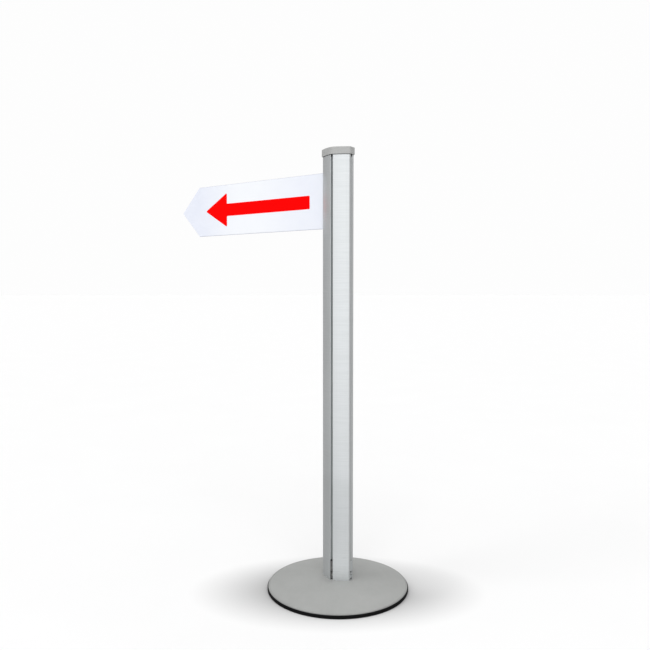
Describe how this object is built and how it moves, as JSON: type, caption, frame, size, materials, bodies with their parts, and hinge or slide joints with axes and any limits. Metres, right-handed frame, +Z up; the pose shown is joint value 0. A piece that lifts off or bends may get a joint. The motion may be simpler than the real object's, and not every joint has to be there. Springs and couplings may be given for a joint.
{
  "type": "directional sign post",
  "caption": "Free-standing indoor sign post: weighted round base with ribbed rubber edge, slotted aluminium post, push-fit cap and an arrow-shaped panel that slides in an end slot.",
  "frame": {"origin": "centre of the round base, on the floor", "axes": "+Z up the post; the panel points along -X from the slot in the narrow end; the post's long sides face -Y (front) and +Y (rear)"},
  "size_m": [0.7234, 0.355, 1.1],
  "materials": {
    "rubber": "moulded, fine ribs",
    "cast_iron": "rough cast, black paint",
    "cover_coat": "silver-grey textured powder coat",
    "zinc_steel": "zinc plated",
    "cast_aluminium": "as cast and machined",
    "anodised": "satin natural anodised, fine die lines",
    "key_steel": "black oxide",
    "slot_trim": "matt grey extruded plastic",
    "cap_plastic": "fine-textured grey moulding",
    "panel_core": "white foamed sheet",
    "face_film": "satin white printable film",
    "red_film": "satin red cut film"
  },
  "bodies": {
    "post": {"rubber_ring": "rubber", "base_weight": "cast_iron", "base_cover": "cover_coat", "base_bolt": "zinc_steel", "lock_washer": "zinc_steel", "bolt_washer": "zinc_steel", "anti_rotation_pins": "zinc_steel", "foot_spigot": "cast_aluminium", "post_profile": "anodised", "slot_keys": "key_steel", "key_grub_screws": "zinc_steel", "slot_infill_front": "slot_trim", "slot_infill_back": "slot_trim", "slot_infill_right": "slot_trim"},
    "cap": {"top_cap": "cap_plastic"},
    "sign": {"sign_blade": "panel_core", "face_film_front": "face_film", "face_film_rear": "face_film", "arrow_decal_front": "red_film", "arrow_decal_rear": "red_film", "blade_spine": "anodised", "spine_rivets": "cast_aluminium", "spine_lock_screws": "zinc_steel"}
  },
  "joints": [
    {"name": "cap_lift", "type": "slide", "parent": "post", "child": "cap", "axis": [0, 0, 1], "range_m": [0, 0.06]},
    {"name": "sign_slide", "type": "slide", "parent": "post", "child": "sign", "axis": [0, 0, 1], "range_m": [-0.8, 0.037]}
  ]
}
